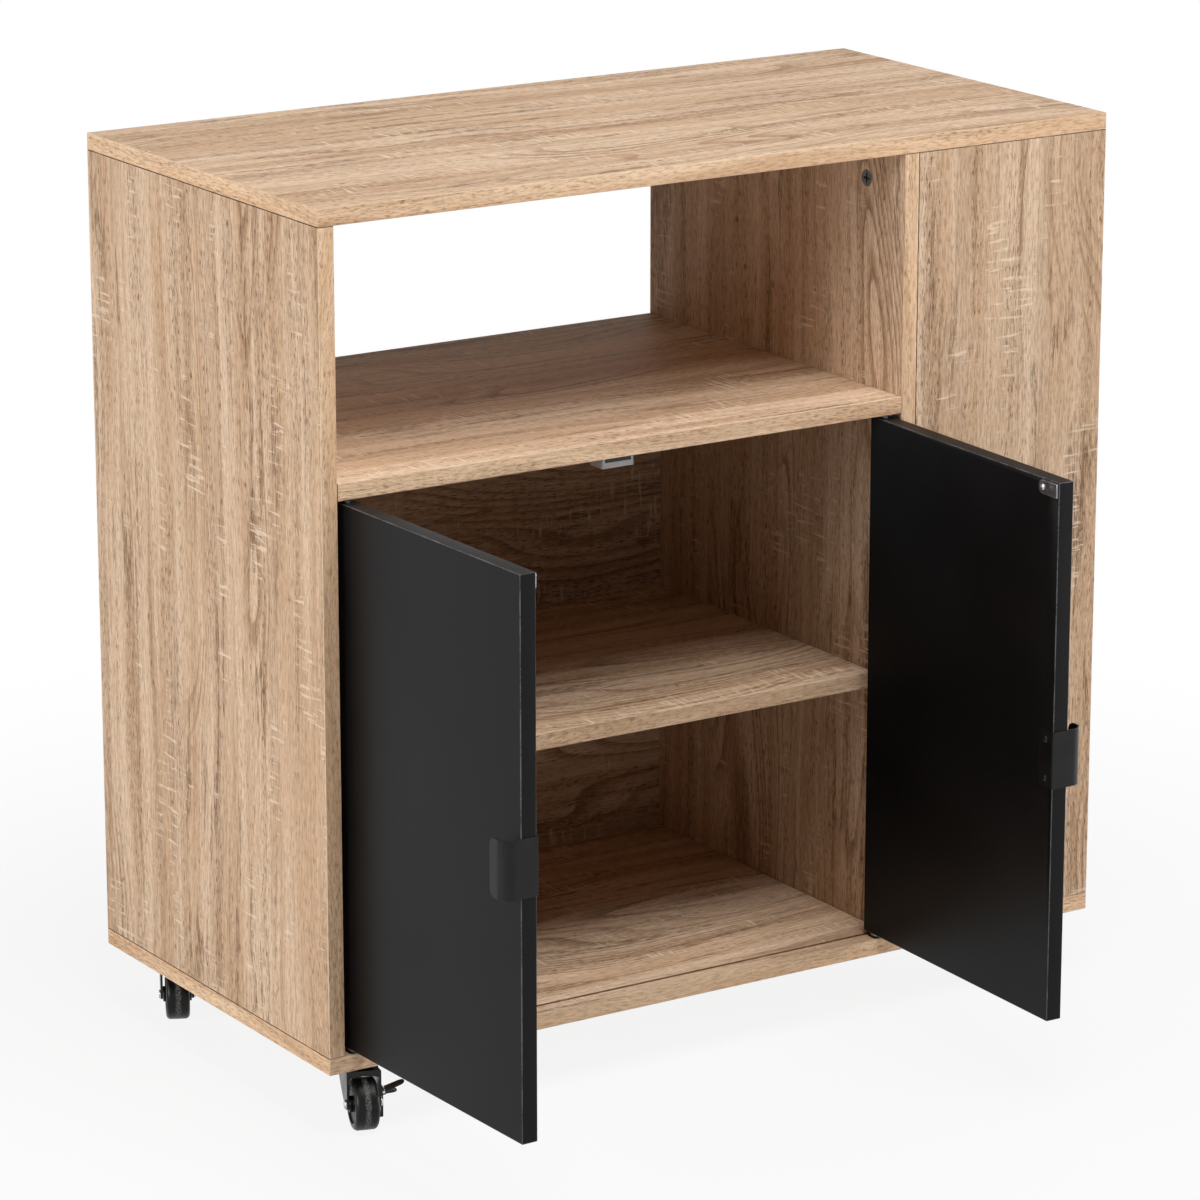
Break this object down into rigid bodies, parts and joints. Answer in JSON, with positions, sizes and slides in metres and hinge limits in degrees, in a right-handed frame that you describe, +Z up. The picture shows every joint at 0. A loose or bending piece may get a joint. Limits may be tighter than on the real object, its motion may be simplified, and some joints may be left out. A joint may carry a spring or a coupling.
{
  "type": "kitchen cart",
  "caption": "Rolling box-shaped kitchen cart with inset swing doors below an open niche, shelves open at one end, and swivel casters with brake levers.",
  "frame": {"origin": "on the floor, under the centre of the carcass", "axes": "+X to the right seen from the front, -Y out of the front, +Z up"},
  "size_m": [0.8, 0.6624, 0.8],
  "materials": {
    "oak": "matte laminate with a sawn light oak grain",
    "door_black": "satin charcoal paint on board",
    "hardware_black": "satin black powder coat",
    "steel": "bright zinc plate",
    "zinc": "dull die-cast zinc",
    "nylon": "black nylon",
    "dowel_wood": "plain beech",
    "catch_white": "pale moulded plastic",
    "magnet": "dark ferrite",
    "wheel_black": "black moulded tread",
    "caster_black": "black stamped steel",
    "brake_black": "black moulded plastic"
  },
  "bodies": {
    "carcass": {"top_panel": "oak", "base_panel": "oak", "left_side_panel": "oak", "divider_panel": "oak", "end_front_panel": "oak", "end_back_panel": "oak", "niche_shelf": "oak", "cabinet_shelf": "oak", "end_shelf_lower": "oak", "end_shelf_upper": "oak", "cabinet_back_panel": "oak", "cam_locks": "zinc", "cam_bolts": "steel", "dowels": "dowel_wood", "base_screws": "steel", "shelf_pins": "steel", "pivot_bushes": "nylon", "catch_housing": "catch_white", "catch_magnet": "magnet", "catch_screws": "steel", "caster_screws": "steel", "front_left_caster_plate": "caster_black", "front_left_kingpin": "caster_black", "front_right_caster_plate": "caster_black", "front_right_kingpin": "caster_black", "back_left_caster_plate": "caster_black", "back_left_kingpin": "caster_black", "back_right_caster_plate": "caster_black", "back_right_kingpin": "caster_black"},
    "left_door": {"left_door": "door_black", "left_handle": "hardware_black", "left_handle_screws": "hardware_black", "left_strike_plate": "hardware_black", "left_strike_screw": "steel", "left_pivot_pins": "steel"},
    "right_door": {"right_door": "door_black", "right_handle": "hardware_black", "right_handle_screws": "hardware_black", "right_strike_plate": "hardware_black", "right_strike_screw": "steel", "right_pivot_pins": "steel"},
    "front_left_brake": {"front_left_brake_lever": "brake_black"},
    "front_left_swivel": {"front_left_fork": "caster_black", "front_left_axle": "steel", "front_left_brake_pin": "steel"},
    "front_left_wheel": {"front_left_wheel": "wheel_black"},
    "front_right_brake": {"front_right_brake_lever": "brake_black"},
    "front_right_swivel": {"front_right_fork": "caster_black", "front_right_axle": "steel", "front_right_brake_pin": "steel"},
    "front_right_wheel": {"front_right_wheel": "wheel_black"},
    "back_left_swivel": {"back_left_fork": "caster_black", "back_left_axle": "steel"},
    "back_left_wheel": {"back_left_wheel": "wheel_black"},
    "back_right_swivel": {"back_right_fork": "caster_black", "back_right_axle": "steel"},
    "back_right_wheel": {"back_right_wheel": "wheel_black"}
  },
  "joints": [
    {"name": "left_door_hinge", "type": "hinge", "parent": "carcass", "child": "left_door", "pos_m": [-0.372, -0.1925, 0.316], "axis": [0, 0, 1], "range_deg": [-21.5, 88.5]},
    {"name": "right_door_hinge", "type": "hinge", "parent": "carcass", "child": "right_door", "pos_m": [0.169, -0.1925, 0.316], "axis": [0, 0, -1], "range_deg": [-21.5, 88.5]},
    {"name": "front_left_swivel", "type": "hinge", "parent": "carcass", "child": "front_left_swivel", "pos_m": [-0.352, -0.162, 0.0524], "axis": [0, 0, 1], "continuous": true},
    {"name": "front_left_roll", "type": "hinge", "parent": "front_left_swivel", "child": "front_left_wheel", "pos_m": [-0.35942, -0.18482, 0.023], "axis": [0.9511, -0.309, 0], "continuous": true},
    {"name": "front_left_brake_rock", "type": "hinge", "parent": "front_left_swivel", "child": "front_left_brake", "pos_m": [-0.33851, -0.18163, 0.0295], "axis": [0.309, 0.9511, 0], "range_deg": [0, 5.5]},
    {"name": "front_right_swivel", "type": "hinge", "parent": "carcass", "child": "front_right_swivel", "pos_m": [0.352, -0.162, 0.0524], "axis": [0, 0, 1], "continuous": true},
    {"name": "front_right_roll", "type": "hinge", "parent": "front_right_swivel", "child": "front_right_wheel", "pos_m": [0.34991, -0.18591, 0.023], "axis": [0.9962, -0.0872, 0], "continuous": true},
    {"name": "front_right_brake_rock", "type": "hinge", "parent": "front_right_swivel", "child": "front_right_brake", "pos_m": [0.36956, -0.17809, 0.0295], "axis": [0.0872, 0.9962, 0], "range_deg": [0, 5.5]},
    {"name": "back_left_swivel", "type": "hinge", "parent": "carcass", "child": "back_left_swivel", "pos_m": [-0.352, 0.162, 0.0524], "axis": [0, 0, 1], "continuous": true},
    {"name": "back_left_roll", "type": "hinge", "parent": "back_left_swivel", "child": "back_left_wheel", "pos_m": [-0.36252, 0.14043, 0.023], "axis": [0.8988, -0.4384, 0], "continuous": true},
    {"name": "back_right_swivel", "type": "hinge", "parent": "carcass", "child": "back_right_swivel", "pos_m": [0.352, 0.162, 0.0524], "axis": [0, 0, 1], "continuous": true},
    {"name": "back_right_roll", "type": "hinge", "parent": "back_right_swivel", "child": "back_right_wheel", "pos_m": [0.34379, 0.13945, 0.023], "axis": [0.9397, -0.342, 0], "continuous": true}
  ]
}
